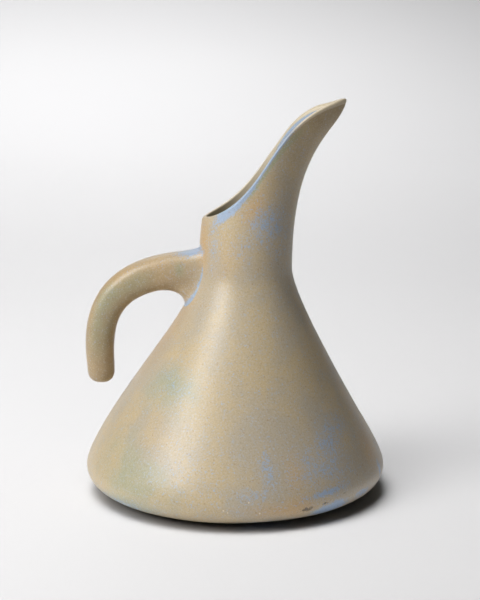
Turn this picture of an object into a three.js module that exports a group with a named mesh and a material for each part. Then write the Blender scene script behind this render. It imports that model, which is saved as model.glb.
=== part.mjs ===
// Ceramic wine pitcher, built the way a potter builds it: a round cone of a body on a base slab
// and a foot ring, a neck and a beak luted on top of it with lap joints, and a hook handle that
// is held at its root by a luting coil.
// Millimetres, +Z up, +X towards the beak. The origin is the centre of the foot ring, on the table.
// A side-view point is (x, z) in the mirror plane, and a profile point is (radius, z).

import * as THREE from 'three';
import { LoftGeometry } from 'three/addons/geometries/LoftGeometry.js';

// Joints between luted pieces
const SLIP_GAP = 0.3; // layer of slip in every joint
const SHOULDER_LAP = 8; // overlap of body and neck
const BEAK_LAP = 5; // overlap of neck and beak
const BASE_LEDGE = 5; // how far the body reaches over the rim of the base slab
const LAP_DEPTH = 0.5; // share of the wall that the outer half of a lap joint takes

// Foot and base
const FOOT_DIAMETER = 128;
const FOOT_WIDTH = 7;
const FOOT_HEIGHT = 1.5;
const BASE_DIAMETER = 136;

// Body
const BELLY_DIAMETER = 182;
const BELLY_HEIGHT = 17.7;
const BODY_WALL = 5.2;
const UNDERSIDE_SLOPE = 2; // degrees, where the underside leaves the base slab
const UNDERSIDE_PULL = 13.5; // length of the curve's handle there
const BELLY_PULL_BELOW = 9.5;
const BELLY_PULL_ABOVE = 16.5;
const LEAN_START = 41.2; // height where the cone starts to lean towards the beak

// Neck
const NECK_DIAMETER = 56;
const NECK_HEIGHT = 138.6; // where the neck is narrowest
const NECK_FORWARD = 6.3; // how far the neck's axis stands ahead of the foot's
const NECK_PULL_BELOW = 24;
const SHOULDER_SEAM_DROP = 35; // joint with the body, below the narrowest place

// Beak and rim
const HEEL_RISE = 28.5; // low back of the rim, above the narrowest place
const HEEL_LEAN = 1.9; // how far the back of the rim leans forward
const TIP_RISE = 99; // tip of the beak, above the narrowest place
const TIP_REACH = 31.6; // tip of the beak, ahead of the neck's front
const TIP_SLOPE = 76; // degrees, of the beak's front at its tip
const TIP_PULL = 20;
const THROAT_PULL = 74;
const RIM_HEEL_SLOPE = 18; // degrees, of the rim as it leaves its low back
const RIM_TIP_SLOPE = 11; // degrees, of the rim as it reaches the tip
const RIM_HEEL_PULL = 44.5;
const RIM_TIP_PULL = 49;
const RIM_WALL = 3.2;
const RIM_CROWN = 1.3; // height of the rounded edge of the rim
const TIP_WALL = 6; // solid clay behind the tip
const BEAK_WIDTH = 30; // width that the throat narrows to at the height of the tip
const THROAT_TAPER = 1.15; // power of the rise, more narrows the throat later
const BEAK_KEEL = 0.7; // 0 is a round front of the beak, more is sharper
const BEAK_SEAM_RISE = 17; // joint with the neck, at the back, above the narrowest place

// Handle
const ROOT_DROP = 1.4; // axis of the handle's root, below the neck's narrowest place
const HANDLE_REACH = 59.5; // from the wall to the axis of the grip
const HANDLE_DROP = 68.2; // from the root's axis to the end of the grip
const HANDLE_PULL_OUT = 72.5;
const HANDLE_PULL_UP = 18;
const GRIP_THICKNESS = 15.8;
const GRIP_WIDTH = 19.5;
const ROOT_THICKNESS = 22.2;
const ROOT_WIDTH = 23;
const GRIP_SQUARENESS = 2.6; // 2 is an oval section, more is squarer
const GRIP_END_ROUND = 5; // radius round the edge of the free end
const ROOT_SAG = 2.2; // how far the root's middle drops as the handle flares into the wall
const COIL_SPREAD = 5; // how far the luting coil covers the wall
const COIL_CLIMB = 9; // how far it climbs the handle
const COIL_SLIP = 0.6; // thicker slip between the coil and the flared root
const COIL_EDGE = 0.8; // thickness of the coil's two edges

// Mesh steps
const WALL_SIDES = 48;
const HANDLE_SIDES = 28;
const HANDLE_STEPS = 16;
const BODY_STEPS = 10;
const NECK_STEPS = 8;
const BEAK_STEPS = 7;
const ROUND_STEPS = 4;

const { lerp, smoothstep, degToRad } = THREE.MathUtils;
const { cos, sin, PI } = Math;

const baseRadius = BASE_DIAMETER / 2;
const bellyRadius = BELLY_DIAMETER / 2;
const neckRadius = NECK_DIAMETER / 2;
const undersideHeight = FOOT_HEIGHT + SLIP_GAP;
const rootHeight = NECK_HEIGHT - ROOT_DROP;

const at = (x, z) => new THREE.Vector2(x, z);
const towards = (degrees, length) => at(length, 0).rotateAround(at(0, 0), degToRad(degrees));
const steps = (from, to, count) => Array.from({ length: count + 1 }, (_, i) => lerp(from, to, i / count));

// Stations run up the wall: 0 at the base slab, 1 at the belly, 2 at the neck and 3 at the rim.
const [BELLY, NECK, RIM] = [1, 2, 3];

const underside = new THREE.CubicBezierCurve(
  at(baseRadius, undersideHeight),
  at(baseRadius, undersideHeight).add(towards(UNDERSIDE_SLOPE, UNDERSIDE_PULL)),
  at(bellyRadius, BELLY_HEIGHT - BELLY_PULL_BELOW),
  at(bellyRadius, BELLY_HEIGHT),
);

const flank = new THREE.CubicBezierCurve(
  at(bellyRadius, BELLY_HEIGHT),
  at(bellyRadius, BELLY_HEIGHT + BELLY_PULL_ABOVE),
  at(neckRadius, NECK_HEIGHT - NECK_PULL_BELOW),
  at(neckRadius, NECK_HEIGHT),
);

const heel = at(NECK_FORWARD - neckRadius + HEEL_LEAN, NECK_HEIGHT + HEEL_RISE);
const tip = at(NECK_FORWARD + neckRadius + TIP_REACH, NECK_HEIGHT + TIP_RISE);

// The rim in side view, an S from its low back to the tip of the beak
const rim = new THREE.CubicBezierCurve(
  heel,
  heel.clone().add(towards(RIM_HEEL_SLOPE, RIM_HEEL_PULL)),
  tip.clone().sub(towards(RIM_TIP_SLOPE, RIM_TIP_PULL)),
  tip,
);

// Half the width of the throat at a height, as if the rim didn't cut it
function throatHalfWidth(height) {
  const taper = Math.max((height - NECK_HEIGHT) / TIP_RISE, 0) ** THROAT_TAPER;
  return lerp(NECK_DIAMETER, BEAK_WIDTH, taper) / 2;
}

// How far forward a curve that rises steadily is at a height
function forwardAtHeight(curve, height) {
  let low = 0;
  let high = 1;
  while (high - low > 1e-7) {
    const middle = (low + high) / 2;
    if (curve.getPoint(middle).y < height) low = middle;
    else high = middle;
  }
  return curve.getPoint(low).x;
}

// One face of the wall as a function of station and angle. The insets are what the wall takes
// off at the body, at the rim and behind the tip, and are 0 for the outside.
function wallFace(bodyInset, rimInset, tipInset) {
  const rimLength = rim.getLength();
  const neckFront = at(NECK_FORWARD + neckRadius - bodyInset, NECK_HEIGHT);
  const neckBack = at(NECK_FORWARD - neckRadius + bodyInset, NECK_HEIGHT);
  const rimFront = rim.getPointAt(1 - tipInset / rimLength);
  const rimBack = rim.getPointAt(rimInset / rimLength);
  const throatFront = new THREE.CubicBezierCurve(
    neckFront,
    at(neckFront.x, NECK_HEIGHT + THROAT_PULL),
    rimFront.clone().sub(towards(TIP_SLOPE, TIP_PULL)),
    rimFront,
  );
  const halfway = at(neckBack.x, NECK_HEIGHT + HEEL_RISE / 2);
  const throatBack = new THREE.QuadraticBezierCurve(neckBack, halfway, rimBack);
  const backLean = (rimBack.x - halfway.x) / (rimBack.y - halfway.y);

  // Back of the throat at a height, as if the rim didn't cut it
  function backAtHeight(height) {
    const above = height - rimBack.y;
    return above > 0 ? rimBack.x + backLean * above : forwardAtHeight(throatBack, height);
  }

  function roundPoint(station, angle) {
    const curve = station < BELLY ? underside : flank;
    const share = station < BELLY ? station : station - BELLY;
    const outside = curve.getPoint(share);
    const along = curve.getTangent(share);
    const radius = outside.x - along.y * bodyInset;
    const lean = NECK_FORWARD * smoothstep(outside.y, LEAN_START, NECK_HEIGHT);
    const height = outside.y + along.x * bodyInset;
    return new THREE.Vector3(lean + radius * cos(angle), radius * sin(angle), height);
  }

  function throatPoint(station, angle) {
    const rise = station - NECK;
    const backward = (1 - cos(angle)) / 2;
    const turn = smoothstep(rise, 0, 1);
    const bend = rim.getPointAt(lerp(1 - tipInset / rimLength, rimInset / rimLength, backward));
    bend.sub(rimFront.clone().lerp(rimBack, backward));
    const side = throatFront.getPoint(rise).lerp(throatBack.getPoint(rise), backward);
    side.addScaledVector(bend, turn);
    const front = forwardAtHeight(throatFront, side.y);
    const back = backAtHeight(side.y);
    const forward = (2 * side.x - front - back) / (front - back);
    const keel = 1 + BEAK_KEEL * turn * smoothstep(forward, 0, 0.5);
    const across = Math.sign(sin(angle)) * Math.max(1 - forward ** 2, 0) ** (keel / 2);
    const halfWidth = throatHalfWidth(side.y) - lerp(bodyInset, rimInset, turn);
    return new THREE.Vector3(side.x, halfWidth * across, side.y);
  }

  return (station, angle) => (station < NECK ? roundPoint(station, angle) : throatPoint(station, angle));
}

const outerFace = wallFace(0, 0, 0);
const innerFace = wallFace(BODY_WALL, RIM_WALL, TIP_WALL);

// Unit direction up the wall, away from the foot
function upTheWall(station, angle) {
  const nudge = 0.001;
  const low = Math.min(station, RIM - nudge);
  return outerFace(low + nudge, angle).sub(outerFace(low, angle)).normalize();
}

// Station that lies a distance up the wall from another one, at one angle, walked in short paces
function stationAbove(station, angle, distance) {
  const paces = 8;
  const nudge = 0.001;
  let place = station;
  for (let pace = 0; pace < paces; pace += 1) {
    const climb = outerFace(place + nudge, angle).distanceTo(outerFace(place, angle));
    place += ((distance / paces) * nudge) / climb;
  }
  return place;
}

// Station of a height on the back of the wall, which rises steadily from the foot to the rim
function stationAtHeight(height) {
  let low = 0;
  let high = RIM;
  while (high - low > 1e-7) {
    const middle = (low + high) / 2;
    if (outerFace(middle, PI).z < height) low = middle;
    else high = middle;
  }
  return low;
}

// Loops of points round the pitcher

const turns = (count) => Array.from({ length: count }, (_, i) => (2 * PI * i) / count);

function circle(radius, z) {
  return turns(WALL_SIDES).map((angle) => new THREE.Vector3(radius * cos(angle), radius * sin(angle), z));
}

// Loop in the wall, from 0 at its outside to 1 at its inside, a distance up from a station
function wallLoop(station, depth, distance = 0) {
  return turns(WALL_SIDES).map((angle) => {
    const place = distance ? stationAbove(station, angle, distance) : station;
    return outerFace(place, angle).lerp(innerFace(place, angle), depth);
  });
}

// Loop over the rounded edge of the rim, at a share of the way from outside to inside
function crownLoop(share) {
  return turns(WALL_SIDES).map((angle) =>
    outerFace(RIM, angle)
      .lerp(innerFace(RIM, angle), (1 - cos(PI * share)) / 2)
      .addScaledVector(upTheWall(RIM, angle), RIM_CROWN * sin(PI * share)),
  );
}

const outsideLoops = (from, to, count) => steps(from, to, count).map((station) => wallLoop(station, 0));
const insideLoops = (from, to, count) => steps(from, to, count).map((station) => wallLoop(station, 1));

// Sections that come back to the first one close the loft into a ring.
const closedLoft = (loops) => new LoftGeometry([...loops, loops[0]]);

// Stations and depths of the joints
const shoulderSeam = stationAtHeight(NECK_HEIGHT - SHOULDER_SEAM_DROP);
const beakSeam = stationAtHeight(NECK_HEIGHT + BEAK_SEAM_RISE);
const socketDepth = LAP_DEPTH - SLIP_GAP / RIM_WALL;

// Spigot that the lower piece of a lap joint sends up inside the upper one
function spigotLoops(seam, lap) {
  return [wallLoop(seam, LAP_DEPTH), wallLoop(seam, LAP_DEPTH, lap), wallLoop(seam, 1, lap)];
}

// Socket of the upper piece, a layer of slip away from that spigot
function socketLoops(seam, lap) {
  const top = lap + SLIP_GAP;
  return [wallLoop(seam, 1, top), wallLoop(seam, socketDepth, top), wallLoop(seam, socketDepth, SLIP_GAP)];
}

const floorHeight = innerFace(0, 0).z;
const ledgeHeight = lerp(undersideHeight, floorHeight, LAP_DEPTH);
const ledgeRadius = baseRadius - BASE_LEDGE;

function bodyWall() {
  return closedLoft([
    ...outsideLoops(0, BELLY, BODY_STEPS / 2),
    ...outsideLoops(BELLY, shoulderSeam, BODY_STEPS).slice(1),
    ...spigotLoops(shoulderSeam, SHOULDER_LAP),
    ...insideLoops(shoulderSeam, BELLY, BODY_STEPS),
    ...insideLoops(BELLY, 0, BODY_STEPS / 2).slice(1),
    circle(ledgeRadius, floorHeight),
    circle(ledgeRadius, ledgeHeight),
    wallLoop(0, LAP_DEPTH),
  ]);
}

// The slab goes up into the body from beneath, and its flange stops under the ledge.
function baseSlab() {
  const flangeRadius = wallLoop(0, LAP_DEPTH)[0].x - SLIP_GAP;
  const plugRadius = ledgeRadius - SLIP_GAP;
  const flangeTop = ledgeHeight - SLIP_GAP;
  return new LoftGeometry(
    [
      circle(flangeRadius, undersideHeight),
      circle(flangeRadius, flangeTop),
      circle(plugRadius, flangeTop),
      circle(plugRadius, floorHeight),
    ],
    { capStart: true, capEnd: true },
  );
}

function footRing() {
  const outer = FOOT_DIAMETER / 2;
  const inner = outer - FOOT_WIDTH;
  return closedLoft([
    circle(outer, 0),
    circle(outer, FOOT_HEIGHT),
    circle(inner, FOOT_HEIGHT),
    circle(inner, 0),
  ]);
}

function neckCollar() {
  return closedLoft([
    wallLoop(shoulderSeam, 0, SLIP_GAP),
    ...outsideLoops(shoulderSeam, NECK, NECK_STEPS).slice(1),
    ...outsideLoops(NECK, beakSeam, NECK_STEPS / 2).slice(1),
    ...spigotLoops(beakSeam, BEAK_LAP),
    ...insideLoops(beakSeam, NECK, NECK_STEPS / 2),
    ...insideLoops(NECK, shoulderSeam, NECK_STEPS).slice(1, -2),
    ...socketLoops(shoulderSeam, SHOULDER_LAP),
  ]);
}

function spoutBeak() {
  return closedLoft([
    wallLoop(beakSeam, 0, SLIP_GAP),
    ...outsideLoops(beakSeam, RIM, BEAK_STEPS).slice(1),
    ...steps(0, 1, ROUND_STEPS).slice(1, -1).map(crownLoop),
    ...insideLoops(RIM, beakSeam, BEAK_STEPS).slice(0, -3),
    ...socketLoops(beakSeam, BEAK_LAP),
  ]);
}

// Axis of the hook handle in side view, from its root on the wall to the end of the grip
const rootPoint = outerFace(stationAtHeight(rootHeight), PI);
const gripX = rootPoint.x - HANDLE_REACH;
const gripEnd = rootHeight - HANDLE_DROP;
const handleAxis = new THREE.CubicBezierCurve(
  at(rootPoint.x, rootHeight),
  at(rootPoint.x - HANDLE_PULL_OUT, rootHeight),
  at(gripX, gripEnd + HANDLE_PULL_UP),
  at(gripX, gripEnd),
);

const squarer = (value) => Math.sign(value) * Math.abs(value) ** (2 / GRIP_SQUARENESS);

// Loop round the handle at a distance from its root, swollen by a margin
function handleLoop(distance, margin = 0) {
  const share = distance / handleAxis.getLength();
  const centre = handleAxis.getPointAt(share);
  const along = handleAxis.getTangentAt(share);
  const thick = lerp(ROOT_THICKNESS, GRIP_THICKNESS, share) / 2 + margin;
  const wide = lerp(ROOT_WIDTH, GRIP_WIDTH, share) / 2 + margin;
  return turns(HANDLE_SIDES).map((a) => {
    const up = thick * squarer(cos(a));
    return new THREE.Vector3(centre.x + along.y * up, wide * squarer(sin(a)), centre.y - along.x * up);
  });
}

// Loop round the handle's root, lifted off the wall and swollen by a margin or cut to a share
function rootLoop(lift, margin = 0, share = 1) {
  return turns(HANDLE_SIDES).map((a) => {
    const up = (ROOT_THICKNESS / 2 + ROOT_SAG + margin) * share * squarer(cos(a));
    const across = (ROOT_WIDTH / 2 + margin) * share * squarer(sin(a));
    const station = stationAtHeight(rootHeight - ROOT_SAG + up);
    const angle = PI - across / outerFace(station, PI / 2).y;
    const outward = new THREE.Vector3(cos(angle), sin(angle), 0);
    return outerFace(station, angle).addScaledVector(outward, lift);
  });
}

// Loop on the flare of the handle, from 0 at the wall to 1 at the top of the luting coil
function flareLoop(share, margin) {
  const top = handleLoop(COIL_CLIMB, margin);
  return rootLoop(SLIP_GAP, margin).map((point, i) => point.lerp(top[i], share));
}

function handleHook() {
  const length = handleAxis.getLength();
  const stemEnd = length - GRIP_END_ROUND;
  const rootFace = steps(0, 1, ROUND_STEPS).map((share) => rootLoop(SLIP_GAP, 0, share)); // outwards
  const flare = steps(0, 1, ROUND_STEPS).slice(1, -1).map((share) => flareLoop(share, 0));
  const stem = steps(COIL_CLIMB, stemEnd, HANDLE_STEPS).map((distance) => handleLoop(distance));
  const end = steps(0, PI / 2, ROUND_STEPS).slice(1).map((angle) =>
    handleLoop(stemEnd + GRIP_END_ROUND * sin(angle), GRIP_END_ROUND * (cos(angle) - 1)),
  );
  return new LoftGeometry([...rootFace, ...flare, ...stem, ...end], { capEnd: true });
}

// The coil fills the corner between wall and handle, with a hollow face from one edge to the other.
function handleRootCoil() {
  const foot = rootLoop(SLIP_GAP + COIL_EDGE, COIL_SPREAD);
  const top = handleLoop(COIL_CLIMB, COIL_SLIP + COIL_EDGE);
  const corner = rootLoop(SLIP_GAP + COIL_EDGE, COIL_SLIP + COIL_EDGE);
  const hollow = steps(0, 1, ROUND_STEPS).map((share) =>
    foot.map((point, i) => new THREE.QuadraticBezierCurve3(point, corner[i], top[i]).getPoint(share)),
  );
  return closedLoft([
    ...hollow,
    ...steps(1, 0, ROUND_STEPS).map((share) => flareLoop(share, COIL_SLIP)),
    ...steps(COIL_SLIP, COIL_SPREAD, ROUND_STEPS).slice(1).map((margin) => rootLoop(SLIP_GAP, margin)),
  ]);
}

const glaze = new THREE.MeshStandardMaterial({ color: 0xb7a888, roughness: 0.45, metalness: 0 });
const bareClay = new THREE.MeshStandardMaterial({ color: 0xa98b6c, roughness: 0.9, metalness: 0 });

const pitcher = new THREE.Group();
const pieces = [
  ['body_wall', bodyWall(), glaze],
  ['base_slab', baseSlab(), glaze],
  ['foot_ring', footRing(), bareClay],
  ['neck_collar', neckCollar(), glaze],
  ['spout_beak', spoutBeak(), glaze],
  ['handle_hook', handleHook(), glaze],
  ['handle_root_coil', handleRootCoil(), glaze],
];
for (const [name, geometry, material] of pieces) {
  const mesh = new THREE.Mesh(geometry, material);
  mesh.name = name;
  pitcher.add(mesh);
}

export default pitcher;
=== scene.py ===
# Ceramic wine pitcher: the glazed pot as it looks, on the frame of its solids.
# Sizes are in millimetres, as in the part's source, and become metres where points are placed.
# +X is towards the beak, -X towards the handle, -Y towards the camera.

from bisect import bisect_left
from math import cos, pi, radians, sin

import bmesh
import bpy
from mathutils import Euler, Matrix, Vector, noise


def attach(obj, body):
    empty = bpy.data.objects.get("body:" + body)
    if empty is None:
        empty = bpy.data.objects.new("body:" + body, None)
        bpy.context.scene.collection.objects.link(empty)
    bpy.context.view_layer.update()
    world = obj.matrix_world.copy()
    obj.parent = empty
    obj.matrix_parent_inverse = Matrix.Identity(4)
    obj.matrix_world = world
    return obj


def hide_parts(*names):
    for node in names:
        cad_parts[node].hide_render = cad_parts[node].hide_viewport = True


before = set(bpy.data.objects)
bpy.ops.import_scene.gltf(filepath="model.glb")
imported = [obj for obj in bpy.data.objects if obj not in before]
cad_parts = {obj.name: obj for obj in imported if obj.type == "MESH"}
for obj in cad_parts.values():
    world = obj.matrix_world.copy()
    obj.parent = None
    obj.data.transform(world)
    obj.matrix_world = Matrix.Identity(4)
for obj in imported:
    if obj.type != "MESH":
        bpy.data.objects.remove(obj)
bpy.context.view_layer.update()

MM = 0.001

# Foot and base
FOOT_DIAMETER = 128
FOOT_WIDTH = 7
FOOT_ROUND = 0.5  # radius of the foot ring's edges
BASE_DIAMETER = 136
UNDERSIDE_HEIGHT = 1.8
BASE_JOINT = 0.15  # hairline between the base and the wall

# Body
BELLY_DIAMETER = 182
BELLY_HEIGHT = 17.7
BODY_WALL = 5.2
UNDERSIDE_SLOPE = 2
UNDERSIDE_PULL = 13.5
BELLY_PULL_BELOW = 9.5
BELLY_PULL_ABOVE = 16.5
LEAN_START = 41.2

# Neck
NECK_DIAMETER = 56
NECK_HEIGHT = 138.6
NECK_FORWARD = 6.3
NECK_PULL_BELOW = 24

# Beak and rim
HEEL_RISE = 28.5
HEEL_LEAN = 1.9
TIP_RISE = 99
TIP_REACH = 31.6
TIP_SLOPE = 76
TIP_PULL = 20
THROAT_PULL = 74
RIM_HEEL_SLOPE = 18
RIM_TIP_SLOPE = 11
RIM_HEEL_PULL = 44.5
RIM_TIP_PULL = 49
RIM_WALL = 3.2
RIM_CROWN = 1.5
TIP_CROWN = 2.3
TIP_WALL = 6
BEAK_WIDTH = 30  # width that the throat narrows to at the height of the tip
THROAT_TAPER = 1.15
BEAK_KEEL = 0.7
FAR_LIP_RISE = 2.0  # the far side of the lip stands a little higher, as hand work does
FAR_LIP_START = (0.03, 0.16)  # shares of the way from the tip to the heel where it rises
FAR_LIP_END = (0.24, 0.46)

# Handle
ROOT_DROP = 1.4
HANDLE_REACH = 59.5
HANDLE_DROP = 68.2
HANDLE_PULL_OUT = 72.5
HANDLE_PULL_UP = 18
GRIP_THICKNESS = 15.8
GRIP_WIDTH = 19.5
ROOT_THICKNESS = 22.2
ROOT_WIDTH = 21
GRIP_SQUARENESS = 2.3  # 2 is an oval section, more is squarer
ROOT_SQUARENESS = 3
GRIP_END_CAP = 7.5
GRIP_END_DOME = 1.6
GRIP_END_SQUARENESS = 2.5
ROOT_SAG = 2.2
COIL_SPREAD = 2
COIL_CLIMB = 9
COIL_SPREAD_BELOW = 7  # the luting coil is larger under the handle
COIL_CLIMB_BELOW = 27
COIL_CORNER = 0.6  # margin of the corner that the coil fills, round the handle's root
COIL_FOOT_PULL = 0.55  # how far the coil's hollow face hugs the wall
COIL_TOP_PULL = 0.45  # how far it hugs the handle
ROOT_SINK = 1  # how deep the root of the handle reaches into the wall

# Hand work: the surface swells and dips a little
UNEVEN_HEIGHT = 0.22
UNEVEN_LENGTH = 34

# Mesh steps
WALL_SIDES = 144
HANDLE_SIDES = 64
UNDERSIDE_STEPS = 16
FLANK_STEPS = 52
THROAT_STEPS = 46
CROWN_STEPS = 8
HANDLE_STEPS = 56
FILLET_STEPS = 12
ROUND_STEPS = 8
CAP_STEPS = 14
FRONT_STEPS = 400  # points that the front of the throat is looked up in
RIM_CROWDING = 1.5  # 1 is even steps up the throat, more is closer steps near the rim
ROOT_SHARES = (0.25, 0.5, 0.75, 1)  # sizes of the loops that close the root of the handle
SEARCH_END = 1e-7  # where a search by halving stops

BASE_RADIUS = BASE_DIAMETER / 2
BELLY_RADIUS = BELLY_DIAMETER / 2
NECK_RADIUS = NECK_DIAMETER / 2
ROOT_HEIGHT = NECK_HEIGHT - ROOT_DROP


# Small helpers

def mix(a, b, share):
    return a + (b - a) * share


def smooth(value, low, high):
    share = min(max((value - low) / (high - low), 0), 1)
    return share * share * (3 - 2 * share)


def fade(value, low, high):
    return 1 - smooth(value, low, high)


def band(value, start, end):
    """1 between the two ranges, 0 before the first and after the second."""
    return smooth(value, *start) * fade(value, *end)


def search(goal, value_at, high):
    """Where a rising value reaches a goal, searched from 0 to the high end."""
    low = 0
    while high - low > SEARCH_END:
        middle = (low + high) / 2
        if value_at(middle) < goal:
            low = middle
        else:
            high = middle
    return low


def steps(start, end, count):
    return [mix(start, end, i / count) for i in range(count + 1)]


def turns(count):
    return [2 * pi * i / count for i in range(count)]


def towards(degrees, length):
    return Vector((cos(radians(degrees)), sin(radians(degrees)))) * length


def cubic(curve, share):
    a, b, c, d = curve
    rest = 1 - share
    return a * rest**3 + b * (3 * share * rest**2) + c * (3 * share**2 * rest) + d * share**3


def cubic_slope(curve, share):
    a, b, c, d = curve
    rest = 1 - share
    return ((b - a) * rest**2 + (c - b) * (2 * share * rest) + (d - c) * share**2).normalized()


def quadratic(a, b, c, share):
    rest = 1 - share
    return a * rest**2 + b * (2 * share * rest) + c * share**2


def paced_lengths(curve, paces=200):
    lengths = [0.0]
    for i in range(paces):
        pace = cubic(curve, (i + 1) / paces) - cubic(curve, i / paces)
        lengths.append(lengths[-1] + pace.length)
    return lengths


def paced_share(lengths, share):
    """Share of the curve's parameter for a share of its length."""
    goal = share * lengths[-1]
    after = min(max(bisect_left(lengths, goal), 1), len(lengths) - 1)
    within = (goal - lengths[after - 1]) / (lengths[after] - lengths[after - 1])
    return (after - 1 + within) / (len(lengths) - 1)


# Wall of the pitcher
# Stations run up the wall: 0 at the base, 1 at the belly, 2 at the neck and 3 at the rim.

BELLY, NECK, RIM = 1, 2, 3

base_edge = Vector((BASE_RADIUS, UNDERSIDE_HEIGHT))
underside = (
    base_edge,
    base_edge + towards(UNDERSIDE_SLOPE, UNDERSIDE_PULL),
    Vector((BELLY_RADIUS, BELLY_HEIGHT - BELLY_PULL_BELOW)),
    Vector((BELLY_RADIUS, BELLY_HEIGHT)),
)
flank = (
    Vector((BELLY_RADIUS, BELLY_HEIGHT)),
    Vector((BELLY_RADIUS, BELLY_HEIGHT + BELLY_PULL_ABOVE)),
    Vector((NECK_RADIUS, NECK_HEIGHT - NECK_PULL_BELOW)),
    Vector((NECK_RADIUS, NECK_HEIGHT)),
)
heel = Vector((NECK_FORWARD - NECK_RADIUS + HEEL_LEAN, NECK_HEIGHT + HEEL_RISE))
tip = Vector((NECK_FORWARD + NECK_RADIUS + TIP_REACH, NECK_HEIGHT + TIP_RISE))
rim = (
    heel,
    heel + towards(RIM_HEEL_SLOPE, RIM_HEEL_PULL),
    tip - towards(RIM_TIP_SLOPE, RIM_TIP_PULL),
    tip,
)
rim_lengths = paced_lengths(rim)


def rim_at(share):
    return cubic(rim, paced_share(rim_lengths, share))


def throat_half_width(height):
    """Half the width of the throat as if the rim didn't cut it."""
    taper = max((height - NECK_HEIGHT) / TIP_RISE, 0) ** THROAT_TAPER
    return mix(NECK_DIAMETER, BEAK_WIDTH, taper) / 2


def wall_face(body_inset, rim_inset, tip_inset):
    """One face of the wall, as a function of station and angle."""
    front_share = 1 - tip_inset / rim_lengths[-1]
    back_share = rim_inset / rim_lengths[-1]
    neck_front = Vector((NECK_FORWARD + NECK_RADIUS - body_inset, NECK_HEIGHT))
    neck_back = Vector((NECK_FORWARD - NECK_RADIUS + body_inset, NECK_HEIGHT))
    rim_front = rim_at(front_share)
    rim_back = rim_at(back_share)
    throat_front = (
        neck_front,
        Vector((neck_front.x, NECK_HEIGHT + THROAT_PULL)),
        rim_front - towards(TIP_SLOPE, TIP_PULL),
        rim_front,
    )
    halfway = Vector((neck_back.x, NECK_HEIGHT + HEEL_RISE / 2))
    back_lean = (rim_back.x - halfway.x) / (rim_back.y - halfway.y)
    front_line = [cubic(throat_front, share) for share in steps(0, 1, FRONT_STEPS)]
    front_heights = [spot.y for spot in front_line]

    def back_point(share):
        return quadratic(neck_back, halfway, rim_back, share)

    def front_at(height):
        """Front of the throat at a height."""
        after = min(max(bisect_left(front_heights, height), 1), len(front_line) - 1)
        below, above = front_line[after - 1], front_line[after]
        return mix(below.x, above.x, (height - below.y) / (above.y - below.y))

    def back_at(height):
        """Back of the throat at a height, as if the rim didn't cut it."""
        if height > rim_back.y:
            return rim_back.x + back_lean * (height - rim_back.y)
        return back_point(search(height, lambda share: back_point(share).y, 1)).x

    def round_point(station, angle):
        curve = underside if station < BELLY else flank
        share = station if station < BELLY else station - BELLY
        outside = cubic(curve, share)
        along = cubic_slope(curve, share)
        radius = outside.x - along.y * body_inset
        lean = NECK_FORWARD * smooth(outside.y, LEAN_START, NECK_HEIGHT)
        height = outside.y + along.x * body_inset
        return Vector((lean + radius * cos(angle), radius * sin(angle), height))

    def throat_point(station, angle):
        rise = station - NECK
        backward = (1 - cos(angle)) / 2
        turn = smooth(rise, 0, 1)
        bend = rim_at(mix(front_share, back_share, backward)) - mix(rim_front, rim_back, backward)
        side = mix(cubic(throat_front, rise), back_point(rise), backward) + bend * turn
        front = front_at(side.y)
        back = back_at(side.y)
        forward = (2 * side.x - front - back) / (front - back)
        keel = 1 + BEAK_KEEL * turn * smooth(forward, 0, 0.5)
        across = max(1 - forward**2, 0) ** (keel / 2)
        if sin(angle) < 0:
            across = -across
        half_width = throat_half_width(side.y) - mix(body_inset, rim_inset, turn)
        lip = FAR_LIP_RISE * band(backward, FAR_LIP_START, FAR_LIP_END)
        height = side.y + lip * turn * max(sin(angle), 0)
        return Vector((side.x, half_width * across, height))

    def point(station, angle):
        return round_point(station, angle) if station < NECK else throat_point(station, angle)

    return point


outer_face = wall_face(0, 0, 0)
inner_face = wall_face(BODY_WALL, RIM_WALL, TIP_WALL)


def station_at_height(height, angle=pi):
    """Station of a height on the outside, at an angle where the wall rises steadily."""
    return search(height, lambda station: outer_face(station, angle).z, RIM)


def on_wall(degrees, height):
    """Point on the outside of the wall, in millimetres."""
    angle = radians(degrees)
    return outer_face(station_at_height(height, angle), angle)


# Marks that follow the shape: cream on the rim, which inside the rim and along the lip near the beak is
# painted light, blue under it and round the handle's root, an olive band under the rim, painted shade
# that deepens inside the pot, and where the glaze is thinner and the clay shows through, which on the
# handle's inner side is painted shade as well
MARKS = ("rim_cream_and_painted_light", "edge_blue", "rim_olive", "inside", "thin_glaze_and_painted_shade")
NO_MARKS = (0,) * len(MARKS)


def inner_marks(away, backward):
    blue = 1.1 * band(backward, (0.06, 0.14), (0.3, 0.5)) * band(away, (0.5, 2), (4, 8))
    # Cream near the rim on the inside is painted light on the shaded inner wall, less where the blue
    # lies.
    edge = fade(away, 2, 9) * (1 - 0.8 * min(blue, 1))
    # The inside mark is painted shade, darker the deeper below the rim.
    return edge, blue, 0, smooth(away, 6, 22), 0


def outer_marks(away, backward, station):
    # Cream along the outer lip near the beak is a painted highlight of its rounded edge.
    edge = 0.75 * fade(backward, 0.25, 0.45) * fade(away, 0.8, 3.2)
    width = mix(2.5, 7.5, smooth(backward, 0.5, 0.85))
    blue = 1.15 * band(backward, (0.2, 0.42), (0.86, 0.95)) * fade(away, 0.2 * width, 1.2 * width)
    olive = 0.8 * band(backward, (0.12, 0.35), (0.6, 0.75)) * band(away, (1.5, 4), (6, 14))
    thin_glaze_and_painted_shade = smooth(station, 2.3, 2.95) * fade(backward, 0.1, 0.5)
    return edge, blue, olive, 0, thin_glaze_and_painted_shade


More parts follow.
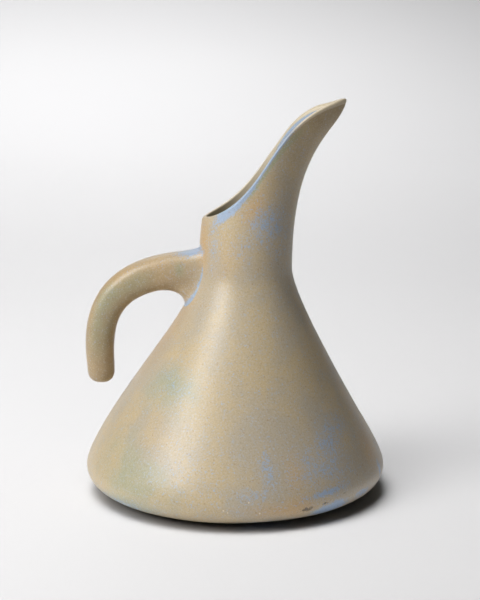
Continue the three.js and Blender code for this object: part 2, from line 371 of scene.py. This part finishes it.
def wall_marks(station, angle, face):
    """Marks by the distance from the rim and by the share of the way from the tip to the heel."""
    away = (face(RIM, angle) - face(station, angle)).length
    backward = (1 - cos(angle)) / 2
    if face is inner_face:
        return inner_marks(away, backward)
    return outer_marks(away, backward, station)


# Building with loops of edges

def new_mesh():
    mesh = bmesh.new()
    for name in MARKS:
        mesh.verts.layers.float.new(name)
    return mesh


def place(mesh, ring, points, marks=None):
    layers = [mesh.verts.layers.float[name] for name in MARKS]
    for i, (vert, point) in enumerate(zip(ring, points)):
        vert.co = point * MM
        for layer, value in zip(layers, marks[i] if marks else NO_MARKS):
            vert[layer] = value


def first_loop(mesh, points, marks=None):
    ring = bmesh.ops.create_circle(mesh, segments=len(points), radius=MM)["verts"]
    place(mesh, ring, points, marks)
    return ring


def loop_edges(mesh, ring):
    return [mesh.edges.get((a, b)) for a, b in zip(ring, ring[1:] + ring[:1])]


def verts_of(parts):
    return [part for part in parts if isinstance(part, bmesh.types.BMVert)]


def edges_of(parts):
    return [part for part in parts if isinstance(part, bmesh.types.BMEdge)]


def next_loop(mesh, ring, points, marks=None):
    fresh = set(verts_of(bmesh.ops.extrude_edge_only(mesh, edges=loop_edges(mesh, ring))["geom"]))
    grown = []
    for vert in ring:
        grown += [edge.other_vert(vert) for edge in vert.link_edges if edge.other_vert(vert) in fresh]
    place(mesh, grown, points, marks)
    return grown


def close_to_point(mesh, ring, point):
    bmesh.ops.pointmerge(mesh, verts=ring, merge_co=point * MM)


def close_to_loop(mesh, ring, other):
    bmesh.ops.bridge_loops(mesh, edges=loop_edges(mesh, ring) + loop_edges(mesh, other))


def make_uneven(mesh):
    """Lets the surface swell and dip a little, as hand work does."""
    bmesh.ops.recalc_face_normals(mesh, faces=mesh.faces)
    mesh.normal_update()
    for vert in mesh.verts:
        swell = noise.noise(vert.co / (UNEVEN_LENGTH * MM))
        vert.co += vert.normal * (UNEVEN_HEIGHT * MM * swell)


def mesh_object(mesh, name, material):
    """Puts a finished mesh into the scene, shaded smooth."""
    bmesh.ops.recalc_face_normals(mesh, faces=mesh.faces)
    for face in mesh.faces:
        face.smooth = True
    data = bpy.data.meshes.new(name)
    mesh.to_mesh(data)
    mesh.free()
    data.materials.append(material)
    made = bpy.data.objects.new(name, data)
    bpy.context.scene.collection.objects.link(made)
    return made


def finish_piece(mesh, name, material, nodes):
    piece = mesh_object(mesh, name, material)
    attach(piece, "root")
    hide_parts(*nodes)


# Pieces

def wall_loop(station, face):
    angles = turns(WALL_SIDES)
    points = [face(station, angle) for angle in angles]
    marks = [wall_marks(station, angle, face) for angle in angles]
    return points, marks


def crown_loop(share):
    """Loop over the rounded edge of the rim, from its outside to its inside."""
    nudge = 0.001
    points = []
    marks = []
    for angle in turns(WALL_SIDES):
        up = (outer_face(RIM, angle) - outer_face(RIM - nudge, angle)).normalized()
        across = mix(outer_face(RIM, angle), inner_face(RIM, angle), (1 - cos(pi * share)) / 2)
        crown = mix(RIM_CROWN, TIP_CROWN, smooth(cos(angle), 0.8, 1))
        points.append(across + up * (crown * sin(pi * share)))
        edge, blue, _, _, thin_glaze_and_painted_shade = wall_marks(RIM, angle, outer_face)
        edge = max(edge, (1 - thin_glaze_and_painted_shade) * smooth(share, 0.25, 0.6))
        marks.append((edge, blue * fade(share, 0.3, 0.7), 0, 0, thin_glaze_and_painted_shade))
    return points, marks


def throat_stations():
    """Stations from the neck to the rim, closer together near the rim."""
    return [RIM - (1 - share) ** RIM_CROWDING for share in steps(0, 1, THROAT_STEPS)]


def glazed_vessel(material):
    """Body, neck and beak under one skin of glaze, inside and out."""
    mesh = new_mesh()
    body_stations = steps(0, BELLY, UNDERSIDE_STEPS) + steps(BELLY, NECK, FLANK_STEPS)[1:]
    upward = body_stations + throat_stations()[1:]
    start = first_loop(mesh, *wall_loop(upward[0], outer_face))
    ring = start
    for station in upward[1:]:
        ring = next_loop(mesh, ring, *wall_loop(station, outer_face))
    for share in steps(0, 1, CROWN_STEPS)[1:-1]:
        ring = next_loop(mesh, ring, *crown_loop(share))
    for station in reversed(upward):
        ring = next_loop(mesh, ring, *wall_loop(station, inner_face))
    close_to_loop(mesh, ring, start)
    make_uneven(mesh)
    nodes = ("body_wall", "neck_collar", "spout_beak")
    finish_piece(mesh, "glazed_vessel", material, nodes)


def circle_points(radius, height):
    return [Vector((radius * cos(angle), radius * sin(angle), height)) for angle in turns(WALL_SIDES)]


def base_floor(material):
    """Round floor that closes the wall from below."""
    low = outer_face(0, 0)
    high = inner_face(0, 0)
    mesh = new_mesh()
    # The upper face of the floor lies deep inside the pot and gets the full painted shade.
    inside = [(0, 0, 0, 1, 0)] * WALL_SIDES
    below_ring = first_loop(mesh, circle_points(low.x / 2, low.z))
    ring = next_loop(mesh, below_ring, circle_points(low.x - BASE_JOINT, low.z))
    ring = next_loop(mesh, ring, circle_points(high.x - BASE_JOINT, high.z), inside)
    above_ring = next_loop(mesh, ring, circle_points(high.x / 2, high.z), inside)
    for middle in (below_ring, above_ring):
        bmesh.ops.contextual_create(mesh, geom=loop_edges(mesh, middle))
    finish_piece(mesh, "base_floor", material, ("base_slab",))


def foot_ring_bare(material):
    """Low ring of bare clay, with worn edges, set into the base."""
    outer = FOOT_DIAMETER / 2
    inner = outer - FOOT_WIDTH
    top = UNDERSIDE_HEIGHT
    mesh = new_mesh()
    profile = [(outer, top)]
    for angle in steps(0, pi / 2, ROUND_STEPS):
        round_out = FOOT_ROUND * (1 - cos(angle))
        profile.append((outer - round_out, FOOT_ROUND * (1 - sin(angle))))
    for angle in steps(pi / 2, 0, ROUND_STEPS):
        round_out = FOOT_ROUND * (1 - cos(angle))
        profile.append((inner + round_out, FOOT_ROUND * (1 - sin(angle))))
    profile.append((inner, top))
    start = first_loop(mesh, circle_points(*profile[0]))
    ring = start
    for radius, height in profile[1:]:
        ring = next_loop(mesh, ring, circle_points(radius, height))
    close_to_loop(mesh, ring, start)
    finish_piece(mesh, "foot_ring_bare", material, ("foot_ring",))


# Handle: its axis leaves the wall level and turns down to the free end

root_point = outer_face(station_at_height(ROOT_HEIGHT), pi)
grip_x = root_point.x - HANDLE_REACH
grip_end = ROOT_HEIGHT - HANDLE_DROP
handle_axis = (
    Vector((root_point.x, ROOT_HEIGHT)),
    Vector((root_point.x - HANDLE_PULL_OUT, ROOT_HEIGHT)),
    Vector((grip_x, grip_end + HANDLE_PULL_UP)),
    Vector((grip_x, grip_end)),
)
handle_lengths = paced_lengths(handle_axis)
handle_length = handle_lengths[-1]


def squarer(value, squareness):
    """Sine or cosine bent so that an oval section gets squarer."""
    size = abs(value) ** (2 / squareness)
    return size if value > 0 else -size


def handle_point(distance, angle, share=1):
    """Point on the handle at a distance from its root, 0 being the angle of its upper face."""
    along_share = min(distance / handle_length, 1)
    step = paced_share(handle_lengths, along_share)
    along = cubic_slope(handle_axis, step)
    centre = cubic(handle_axis, step) + along * (distance - along_share * handle_length)
    thick = mix(ROOT_THICKNESS, GRIP_THICKNESS, along_share) / 2 * share
    wide = mix(ROOT_WIDTH, GRIP_WIDTH, along_share) / 2 * share
    squareness = mix(ROOT_SQUARENESS, GRIP_SQUARENESS, along_share)
    up = thick * squarer(cos(angle), squareness)
    across = wide * squarer(sin(angle), squareness)
    return Vector((centre.x + along.y * up, across, centre.y - along.x * up))


def root_point_at(angle, lift, margin, share=1):
    """Point on the wall round the handle's root, at a margin from it, lifted off the wall."""
    up = (ROOT_THICKNESS / 2 + ROOT_SAG + margin) * share * squarer(cos(angle), ROOT_SQUARENESS)
    across = (ROOT_WIDTH / 2 + margin) * share * squarer(sin(angle), ROOT_SQUARENESS)
    station = station_at_height(ROOT_HEIGHT - ROOT_SAG + up)
    around = pi - across / outer_face(station, pi / 2).y
    outward = Vector((cos(around), sin(around), 0))
    return outer_face(station, around) + outward * lift


def under_handle(angle):
    """1 under the handle, 0 on its upper half."""
    return smooth(-cos(angle), 0, 1)


def coil_spread(angle):
    return mix(COIL_SPREAD, COIL_SPREAD_BELOW, under_handle(angle))


def coil_climb(angle):
    return mix(COIL_CLIMB, COIL_CLIMB_BELOW, under_handle(angle))


def root_loop(share):
    """Loop inside the wall, which closes the root of the handle."""
    return [root_point_at(angle, -ROOT_SINK, coil_spread(angle), share) for angle in turns(HANDLE_SIDES)]


def coil_loop(share):
    """Loop on the hollow face of the luting coil, from the wall to the handle."""
    points = []
    for angle in turns(HANDLE_SIDES):
        climb = coil_climb(angle)
        foot = root_point_at(angle, 0, coil_spread(angle))
        corner = root_point_at(angle, 0, COIL_CORNER)
        top = handle_point(climb, angle)
        pull = handle_point(climb * COIL_TOP_PULL, angle)
        points.append(cubic((foot, mix(foot, corner, COIL_FOOT_PULL), pull, top), share))
    return points


def stem_loop(share):
    """Loop on the handle, from the top of the coil to the cap of its free end."""
    stem_end = handle_length + GRIP_END_DOME - GRIP_END_CAP
    return [handle_point(mix(coil_climb(angle), stem_end, share), angle) for angle in turns(HANDLE_SIDES)]


def cap_loop(bend):
    """Loop on the rounded free end, 0 being the bend where the cap starts."""
    share = cos(bend) ** (2 / GRIP_END_SQUARENESS)
    rest = 1 - sin(bend) ** (2 / GRIP_END_SQUARENESS)
    distance = handle_length + GRIP_END_DOME - GRIP_END_CAP * rest
    return [handle_point(distance, angle, share) for angle in turns(HANDLE_SIDES)]


def handle_marks(share):
    """The glaze gets thinner towards the free end; the handle's inner side gets the same brown as painted
    shade.
    """
    marks = []
    for angle in turns(HANDLE_SIDES):
        # The share for the inner side is painted shade.
        thin_glaze_and_painted_shade = mix(0.1, 0.9, share) + 0.9 * smooth(-cos(angle), -0.3, 0.6)
        marks.append((0, 0, 0, 0, min(thin_glaze_and_painted_shade, 1)))
    return marks


def coil_marks(share):
    """Blue glaze lies thick in the lower corner between the coil and the wall."""
    pool = 0.9 * fade(share, 0.08, 0.32)
    marks = []
    for angle, (*_, thin_glaze_and_painted_shade) in zip(turns(HANDLE_SIDES), handle_marks(0)):
        blue = pool * smooth(-cos(angle), -0.5, 0.3)
        # The handle's brown, with its painted shade on the lower side, fades in along the coil.
        marks.append((0, blue, 0, 0, thin_glaze_and_painted_shade * smooth(share, 0.2, 0.8)))
    return marks


def glazed_handle(material):
    """Handle and luting coil under one skin of glaze, from inside the wall to the free end."""
    mesh = new_mesh()
    root_loops = [root_loop(share) for share in ROOT_SHARES]
    start = first_loop(mesh, root_loops[0])
    ring = start
    for points in root_loops[1:]:
        ring = next_loop(mesh, ring, points)
    for share in steps(0, 1, FILLET_STEPS):
        ring = next_loop(mesh, ring, coil_loop(share), coil_marks(share))
    for share in steps(0, 1, HANDLE_STEPS)[1:]:
        ring = next_loop(mesh, ring, stem_loop(share), handle_marks(share))
    for bend in steps(0, pi / 2, CAP_STEPS)[1:-1]:
        ring = next_loop(mesh, ring, cap_loop(bend), handle_marks(1))
    close_to_point(mesh, ring, Vector((grip_x, 0, grip_end - GRIP_END_DOME)))
    close_to_point(mesh, start, sum(root_loops[0], Vector((0, 0, 0))) / HANDLE_SIDES)
    make_uneven(mesh)
    finish_piece(mesh, "glazed_handle", material, ("handle_hook", "handle_root_coil"))


# Materials

PATCH_DEPTH = 14  # how far a patch of glaze reaches through the wall, in millimetres
DOT_EDGE = 0.42  # where a speckle ends, as a share of its cell
DOT_CORE = 0.2  # where it has its full colour


def add_node(tree, kind, inputs=None, **settings):
    made = tree.nodes.new(kind)
    for key, value in settings.items():
        setattr(made, key, value)
    for key, value in (inputs or {}).items():
        if isinstance(value, bpy.types.NodeSocket):
            tree.links.new(value, made.inputs[key])
        else:
            made.inputs[key].default_value = value
    return made


def new_material(name):
    """Node material, its tree, its shader and the object coordinates of a spot on the piece."""
    material = bpy.data.materials.new(name)
    material.use_nodes = True
    tree = material.node_tree
    spot = add_node(tree, "ShaderNodeTexCoord").outputs["Object"]
    return material, tree, tree.nodes["Principled BSDF"], spot


def maths(tree, operation, *values):
    made = add_node(tree, "ShaderNodeMath", dict(enumerate(values)), operation=operation)
    return made.outputs[0]


def ramp(tree, value, low, high):
    """0 below the low value, 1 above the high one, smooth between them."""
    inputs = {"Value": value, "From Min": low, "From Max": high}
    made = add_node(tree, "ShaderNodeMapRange", inputs, interpolation_type="SMOOTHSTEP")
    return made.outputs[0]


def mix_colour(tree, share, below, above):
    made = add_node(tree, "ShaderNodeMix", {0: share, 6: below, 7: above}, data_type="RGBA")
    return made.outputs[2]


def lay_over(tree, below, above, weight, strength):
    """Lays one colour over another, by a weight times a strength."""
    return mix_colour(tree, maths(tree, "MULTIPLY", weight, strength), below, above)


def cloud(tree, place_socket, size, detail=3, roughness=0.55):
    """Soft noise whose blotches are about one size across, in millimetres."""
    inputs = {"Vector": place_socket, "Scale": 1 / (size * MM), "Detail": detail, "Roughness": roughness}
    return add_node(tree, "ShaderNodeTexNoise", inputs).outputs[0]


def mark(tree, name):
    return add_node(tree, "ShaderNodeAttribute", attribute_name=name).outputs["Fac"]


def patch_weight(tree, place_socket, patches):
    """Sum of soft patches: centre, reach in three directions, turn in degrees, strength."""
    total = 0.0
    for centre, reach, turn, strength in patches:
        inputs = {
            "Vector": place_socket,
            "Location": Vector(centre) * MM,
            "Rotation": Euler([radians(angle) for angle in turn]),
            "Scale": Vector(reach) * MM,
        }
        local = add_node(tree, "ShaderNodeMapping", inputs, vector_type="TEXTURE").outputs[0]
        ball = add_node(tree, "ShaderNodeTexGradient", {"Vector": local}, gradient_type="SPHERICAL")
        total = maths(tree, "MULTIPLY_ADD", ball.outputs["Fac"], strength, total)
    return total


def on_body(degrees, height, along, up, strength, slant=0):
    """Patch that lies on the wall of the body, long round it or up it."""
    return on_wall(degrees, height), (along, PATCH_DEPTH, up), (0, slant, degrees + 90), strength


def speckles(tree, place_socket, size, share):
    """Small dots in a share of the cells of a grid of cells of one size, in millimetres."""
    inputs = {"Vector": place_socket, "Scale": 1 / (size * MM)}
    cells = add_node(tree, "ShaderNodeTexVoronoi", inputs)
    chance = add_node(tree, "ShaderNodeSeparateColor", {0: cells.outputs["Color"]}).outputs[0]
    chosen = maths(tree, "LESS_THAN", chance, share)
    dot = ramp(tree, cells.outputs["Distance"], DOT_EDGE, DOT_CORE)
    return maths(tree, "MULTIPLY", chosen, dot)


# Colours of the glaze, of painted light and shade, of the bare clay and of the paper
TAN = (0.565, 0.45, 0.27, 1)
TAUPE = (0.49, 0.42, 0.31, 1)
OLIVE = (0.40, 0.415, 0.27, 1)
OCHRE = (0.60, 0.41, 0.205, 1)
# BROWN is thinner glaze, and painted shade on the handle's inner side
BROWN = (0.35, 0.245, 0.12, 1)
BLUE = (0.31, 0.455, 0.67, 1)
# CREAM is glaze broken on the rim's crest and chips, and painted light inside the rim and along the lip
# near the beak
CREAM = (0.74, 0.65, 0.49, 1)
PALE = (0.72, 0.65, 0.50, 1)
UMBER = (0.31, 0.25, 0.17, 1)
RUST = (0.34, 0.17, 0.07, 1)
CINDER = (0.07, 0.055, 0.045, 1)
# Painted shade for the inside of the pot
SHADE_GREEN = (0.11, 0.115, 0.075, 1)
CLAY = (0.43, 0.30, 0.19, 1)
CLAY_STAIN = (0.34, 0.21, 0.12, 1)
CLAY_SAND = (0.56, 0.44, 0.31, 1)
CLAY_GRIT = (0.12, 0.08, 0.05, 1)
PAPER = (0.335, 0.333, 0.337, 1)
PAPER_TOOTH = (0.345, 0.343, 0.347, 1)

# Patches of the glaze, in millimetres and degrees round the body from the beak's side
BLUE_PATCHES = [
    on_body(-77, 37.2, 9, 26, 0.4),
    on_body(-84, 22.2, 12, 7, 0.36),
    on_body(-54, 34.2, 32, 24, 0.38),
    on_body(-45, 48.2, 16, 18, 0.3),
    on_body(-34, 52.2, 20, 24, 0.24),
    on_body(-54, 20.2, 22, 2.6, 0.65, -5),
    on_body(-51, 9.2, 17, 6, 1.6, -8),
    on_body(-34, 12.2, 10, 4, 0.8, -6),
    on_body(-17, 20.2, 3, 8, 1.0),
    on_body(-78, 3.2, 26, 2.6, 0.9),
    on_body(-140, 7.2, 40, 8, 0.45),
    on_body(-131, 75.2, 26, 44, 0.2),
    on_body(-108, 34.2, 44, 30, 0.14),
    on_body(75, 37.2, 26, 22, 0.5),
    on_body(110, 13.2, 22, 6, 1.1),
    on_body(40, 63.2, 16, 30, 0.35),
    ((15, -26, 168.2), (18, 14, 18), (0, 0, 0), 0.28),
    ((24, -22, 164.2), (17, 16, 24), (0, 0, 0), 0.28),
    ((4, -27, 152.2), (10, 12, 12), (0, 0, 0), 0.24),
    ((-12, -17, 152.2), (7, 12, 24), (0, 0, 0), 0.3),
    ((-27, -3, 149.2), (13, 18, 6), (0, 0, 0), 1.2),
    ((-78, -9, 108.2), (9, 14, 22), (0, 15, 0), 0.14),
    ((18, 26, 165.2), (16, 12, 22), (0, 0, 0), 0.45),
]
OLIVE_PATCHES = [
    on_body(-142, 38.2, 48, 32, 0.42),
    on_body(-128, 20.2, 58, 24, 0.48),
    on_body(-131, 75.2, 32, 48, 0.65),
    on_body(-145, 7.2, 50, 10, 0.7),
    on_body(95, 53.2, 40, 40, 0.5),
    ((-79, -9, 105.2), (10, 16, 28), (0, 12, 0), 1.3),
    ((-64, -10, 125.2), (28, 10, 12), (0, -30, 0), 0.8),
    ((-33, -12, 138.2), (5, 8, 8), (0, 0, 0), 0.8),
]
OCHRE_PATCHES = [
    ((11, -22, 176.2), (10, 12, 16), (0, 35, 0), 0.9),
    ((-18, -8, 156.2), (8, 14, 24), (0, 0, 0), 0.9),
    ((-6, -26, 146.2), (26, 18, 36), (0, 0, 0), 0.45),
    ((21, -16, 191.2), (12, 12, 18), (0, 30, 0), 0.45),
    on_body(-126, 51.2, 30, 26, 0.28),
    on_body(-72, 13.2, 36, 9, 0.8),
    on_body(-66, 32.2, 13, 34, 0.6),
    on_body(-20, 33.2, 22, 30, 0.65),
    on_body(130, 33.2, 30, 24, 0.4),
    ((-56, 0, 118.2), (64, 40, 70), (0, 0, 0), 0.95),
    ((-86, -6, 75.2), (12, 14, 16), (0, 0, 0), 0.4),
]
SCAR_PATCHES = [
    on_body(-63, 12.2, 8, 2.6, 0.9, -8),
    on_body(-55, 14.2, 7, 1.8, 0.6, -8),
    on_body(-73, 11.2, 9, 1.6, 0.4, -4),
    on_body(-46, 17.2, 3, 1.4, 0.7, -6),
]
CHIP_PATCHES = [
    on_body(-94, 14.9, 0.8, 0.8, 1.6),
    on_body(-92.5, 13.6, 0.6, 0.6, 1.6),
    on_body(-81, 12.8, 0.7, 0.9, 1.6),
    on_body(-85, 19.6, 0.7, 0.7, 1.6),
]


def pitcher_glaze():
    """Satin tan glaze that breaks to cream on edges and to pale blue where it lies thick, with painted
    light and shade in cream, brown and a shadowed green.
    """
    material, tree, shader, spot = new_material("pitcher_glaze")

    broad = cloud(tree, spot, 60, 2)
    blotch = cloud(tree, spot, 14, 4)
    drift = cloud(tree, spot, 7, 4, 0.65)
    grain = cloud(tree, spot, 2.6, 3, 0.7)
    dust = cloud(tree, spot, 0.9, 2, 0.7)

    tone = maths(tree, "ADD", maths(tree, "MULTIPLY", broad, 0.6), maths(tree, "MULTIPLY", blotch, 0.4))
    colour = mix_colour(tree, ramp(tree, tone, 0.4, 0.6), TAN, TAUPE)

    ochre = patch_weight(tree, spot, OCHRE_PATCHES)
    ochre = ramp(tree, maths(tree, "MULTIPLY_ADD", grain, 0.7, ochre), 0.42, 1.3)
    colour = mix_colour(tree, ochre, colour, OCHRE)

    olive = maths(tree, "ADD", patch_weight(tree, spot, OLIVE_PATCHES), mark(tree, "rim_olive"))
    olive = ramp(tree, maths(tree, "MULTIPLY_ADD", blotch, 0.7, olive), 0.35, 1.25)
    colour = mix_colour(tree, olive, colour, OLIVE)

    # Painted shade: the inside darkens to a shadowed green below the rim.
    colour = lay_over(tree, colour, SHADE_GREEN, mark(tree, "inside"), 0.8)

    coarse_flecks = maths(tree, "MULTIPLY_ADD", grain, 0.7, -0.5)
    flecks = maths(tree, "MULTIPLY_ADD", dust, 1.3, coarse_flecks)
    weight = maths(tree, "ADD", patch_weight(tree, spot, BLUE_PATCHES), mark(tree, "edge_blue"))
    weight = maths(tree, "MULTIPLY", weight, maths(tree, "MULTIPLY_ADD", drift, 1.8, 0.1))
    colour = lay_over(tree, colour, BLUE, weight, 0.25)
    blue = ramp(tree, maths(tree, "MULTIPLY_ADD", weight, 0.6, flecks), 0.64, 0.84)
    colour = lay_over(tree, colour, BLUE, blue, 0.8)
    colour = lay_over(tree, colour, BLUE, ramp(tree, flecks, 0.52, 0.75), 0.2)

    # Brown where the glaze is thinner, and painted shade on the handle's inner side.
    thin_glaze_and_painted_shade = maths(tree, "MULTIPLY", mark(tree, "thin_glaze_and_painted_shade"), maths(tree, "MULTIPLY_ADD", drift, 0.8, 0.3))
    colour = mix_colour(tree, thin_glaze_and_painted_shade, colour, BROWN)

    colour = lay_over(tree, colour, UMBER, ramp(tree, dust, 0.5, 0.28), 0.4)
    colour = lay_over(tree, colour, PALE, ramp(tree, dust, 0.52, 0.72), 0.3)
    colour = lay_over(tree, colour, RUST, speckles(tree, spot, 1.7, 0.07), 0.3)
    colour = lay_over(tree, colour, BLUE, speckles(tree, spot, 1.4, 0.12), 0.15)

    # Cream on the rim's crest is glaze; inside the rim and along the lip near the beak it is painted
    # light.
    edge = ramp(tree, maths(tree, "MULTIPLY_ADD", grain, 0.35, mark(tree, "rim_cream_and_painted_light")), 0.55, 1.1)
    colour = lay_over(tree, colour, CREAM, edge, 0.8)

    scar = patch_weight(tree, spot, SCAR_PATCHES)
    scar = ramp(tree, maths(tree, "MULTIPLY_ADD", grain, 1.6, scar), 1.15, 1.5)
    colour = lay_over(tree, colour, CINDER, scar, 0.7)
    chips = ramp(tree, patch_weight(tree, spot, CHIP_PATCHES), 0.3, 0.7)
    colour = mix_colour(tree, chips, colour, CREAM)

    sheen_change = maths(tree, "MULTIPLY_ADD", grain, 0.16, 0.3)
    roughness = maths(tree, "MULTIPLY_ADD", scar, 0.25, sheen_change)
    relief = maths(tree, "MULTIPLY_ADD", dust, 0.6, grain)
    relief = maths(tree, "MULTIPLY_ADD", scar, -0.8, relief)
    bump_inputs = {"Strength": 0.22, "Distance": 0.3 * MM, "Height": relief}
    bump = add_node(tree, "ShaderNodeBump", bump_inputs)

    shader.inputs["Specular IOR Level"].default_value = 0.55
    tree.links.new(colour, shader.inputs["Base Color"])
    tree.links.new(roughness, shader.inputs["Roughness"])
    tree.links.new(bump.outputs[0], shader.inputs["Normal"])
    return material


def bare_clay():
    """Unglazed stoneware of the foot, sandy and a little stained."""
    material, tree, shader, spot = new_material("bare_clay")
    stain = cloud(tree, spot, 18, 4)
    sand = cloud(tree, spot, 0.9, 2, 0.7)
    colour = mix_colour(tree, ramp(tree, stain, 0.35, 0.65), CLAY, CLAY_STAIN)
    colour = mix_colour(tree, ramp(tree, sand, 0.5, 0.75), colour, CLAY_SAND)
    colour = mix_colour(tree, speckles(tree, spot, 2.2, 0.15), colour, CLAY_GRIT)
    bump = add_node(tree, "ShaderNodeBump", {"Strength": 0.4, "Distance": 0.3 * MM, "Height": sand})
    tree.links.new(colour, shader.inputs["Base Color"])
    tree.links.new(maths(tree, "MULTIPLY_ADD", sand, 0.15, 0.78), shader.inputs["Roughness"])
    tree.links.new(bump.outputs[0], shader.inputs["Normal"])
    return material


def studio_paper():
    """Pale seamless paper with a faint tooth."""
    material, tree, shader, spot = new_material("studio_paper")
    colour = mix_colour(tree, cloud(tree, spot, 400, 2), PAPER, PAPER_TOOTH)
    tree.links.new(colour, shader.inputs["Base Color"])
    shader.inputs["Roughness"].default_value = 0.9
    shader.inputs["Specular IOR Level"].default_value = 0.1
    return material


# Stage, in metres: a paper sweep, soft light and the camera

FLOOR_HALF_WIDTH = 4.5
FLOOR_FRONT = -4
SWEEP_START = 0.8  # where the floor starts to bend up
SWEEP_RADIUS = 4
SWEEP_HEIGHT = 1  # straight paper above the bend
SWEEP_STEPS = 24
PAPER_LAMP_SPREAD = 60  # degrees


def paper_sweep(material):
    mesh = bmesh.new()
    left = mesh.verts.new((-FLOOR_HALF_WIDTH, FLOOR_FRONT, 0))
    right = mesh.verts.new((FLOOR_HALF_WIDTH, FLOOR_FRONT, 0))
    edge = mesh.edges.new((left, right))
    floor = bmesh.ops.extrude_edge_only(mesh, edges=[edge])["geom"]
    bmesh.ops.translate(mesh, verts=verts_of(floor), vec=(0, SWEEP_START - FLOOR_FRONT, 0))
    bend = bmesh.ops.spin(
        mesh,
        geom=edges_of(floor) + verts_of(floor),
        cent=(0, SWEEP_START, SWEEP_RADIUS),
        axis=(1, 0, 0),
        angle=pi / 2,
        steps=SWEEP_STEPS,
    )["geom_last"]
    wall = bmesh.ops.extrude_edge_only(mesh, edges=edges_of(bend))["geom"]
    bmesh.ops.translate(mesh, verts=verts_of(wall), vec=(0, 0, SWEEP_HEIGHT))
    sweep = mesh_object(mesh, "paper_sweep", material)
    return sweep


def soft_box(name, place_at, aim, width, height, power, colour=(1, 1, 1)):
    data = bpy.data.lights.new(name, "AREA")
    data.shape = "RECTANGLE"
    data.size = width
    data.size_y = height
    data.energy = power
    data.color = colour
    lamp = bpy.data.objects.new(name, data)
    lamp.location = place_at
    lamp.rotation_euler = (Vector(aim) - Vector(place_at)).to_track_quat("-Z", "Y").to_euler()
    bpy.context.scene.collection.objects.link(lamp)
    return lamp


def light_only(lamp, piece):
    """Keeps a lamp's direct light to one piece, as a flag in the studio does."""
    receivers = bpy.data.collections.new(lamp.name + "_receivers")
    receivers.objects.link(piece)
    lamp.light_linking.receiver_collection = receivers


def studio_light(sweep):
    world = bpy.data.worlds.new("studio")
    world.use_nodes = True
    surround = world.node_tree.nodes["Background"]
    surround.inputs["Color"].default_value = (0.94, 0.96, 1, 1)
    surround.inputs["Strength"].default_value = 0.03
    bpy.context.scene.world = world
    bpy.context.scene.view_settings.view_transform = "Standard"
    soft_box("key_box", (-0.98, -0.7, 0.96), (0, 0, 0.1), 0.7, 0.8, 17.6, (1, 0.985, 0.96))
    soft_box("overhead_box", (-0.25, -0.35, 1.5), (0, 0, 0), 1.0, 1.0, 7.2)
    soft_box("back_box", (-0.2, 1.7, 1.2), (0, 0, 0.1), 1.2, 1.2, 6)
    floor_box = soft_box("floor_box", (-0.57, -0.5, 2.1), (-0.27, 0.2, 0), 1.4, 1.4, 16.6)
    backdrop_box = soft_box("backdrop_box", (-1.6, 1.8, 2.2), (-0.1, 1.95, 0.2), 1.6, 1.6, 31)
    front_box = soft_box("front_box", (-0.9, -2.8, 2.2), (-0.7, -2.8, 0), 1.6, 1.6, 20)
    for lamp in (floor_box, backdrop_box, front_box):
        lamp.data.spread = radians(PAPER_LAMP_SPREAD)
        light_only(lamp, sweep)


def photo_camera():
    data = bpy.data.cameras.new("photo_camera")
    data.lens = 96
    data.sensor_width = 36
    camera = bpy.data.objects.new("photo_camera", data)
    camera.location = (0.003, -0.95, 0.3026)
    camera.rotation_euler = (radians(79), 0, 0)
    bpy.context.scene.collection.objects.link(camera)
    bpy.context.scene.camera = camera


photo_camera()
glaze = pitcher_glaze()
glazed_vessel(glaze)
base_floor(glaze)
glazed_handle(glaze)
foot_ring_bare(bare_clay())
studio_light(paper_sweep(studio_paper()))
